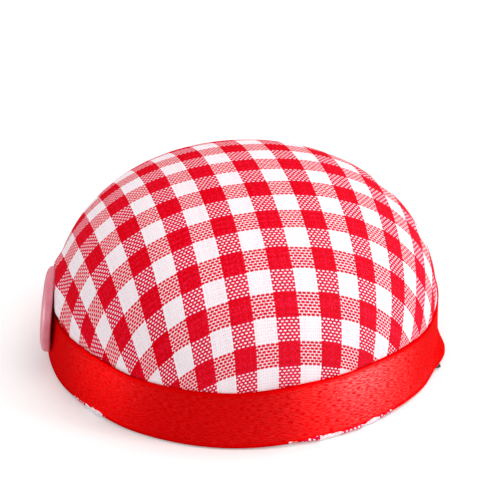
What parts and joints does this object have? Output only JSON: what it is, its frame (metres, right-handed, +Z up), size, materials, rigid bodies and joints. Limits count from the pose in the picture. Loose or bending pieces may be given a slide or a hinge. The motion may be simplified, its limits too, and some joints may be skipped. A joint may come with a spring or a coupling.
{
  "type": "pincushion",
  "caption": "Stuffed gingham dome on a cloth-covered board, with a satin ribbon round the join, a sewn button at its side and a flat elastic wrist strap beneath.",
  "frame": {"origin": "middle of the strap's underside, where the pincushion rests on a table", "axes": "+Z up through the crown; -Y faces the camera of the picture; the button is on the -X side"},
  "size_m": [0.0717, 0.0704, 0.0329],
  "materials": {
    "gingham_cotton": "plain-weave cotton in red and white checks, matt",
    "fibre_filling": "loose polyester fibre",
    "cotton_thread": "twisted sewing thread",
    "satin_ribbon": "red satin with a fine crosswise rib and woven edges",
    "button_plastic": "pale pink, slightly see-through, polished",
    "grey_board": "uncoated grey board",
    "hot_glue": "set hot-melt glue, cloudy",
    "elastic_webbing": "black flat-woven elastic, ribbed along its length"
  },
  "bodies": {
    "wrist_strap": {"strap_middle": "elastic_webbing", "strap_left_run": "elastic_webbing", "strap_right_run": "elastic_webbing"},
    "cushion": {"top_cover": "gingham_cotton", "stuffing": "fibre_filling", "gather_thread": "cotton_thread", "ribbon_band": "satin_ribbon", "base_cover": "gingham_cotton", "base_board": "grey_board", "glue_pad_front": "hot_glue", "glue_pad_back": "hot_glue", "strap_left_tail": "elastic_webbing", "strap_right_tail": "elastic_webbing"},
    "button": {"button": "button_plastic", "button_thread": "cotton_thread"}
  },
  "joints": [
    {"name": "strap_stretch", "type": "slide", "parent": "wrist_strap", "child": "cushion", "axis": [0, 0, 1], "range_m": [0, 0.04], "stiffness_N_per_m": 100, "springref_m": -0.002, "deforming": ["strap_left_run", "strap_right_run"]},
    {"name": "button_twist", "type": "hinge", "parent": "cushion", "child": "button", "pos_m": [-0.03392, -0.00356, 0.00856], "axis": [-0.994, 0.0174, 0.1078], "range_deg": [-25, 25], "stiffness_Nm_per_rad": 0.002}
  ]
}
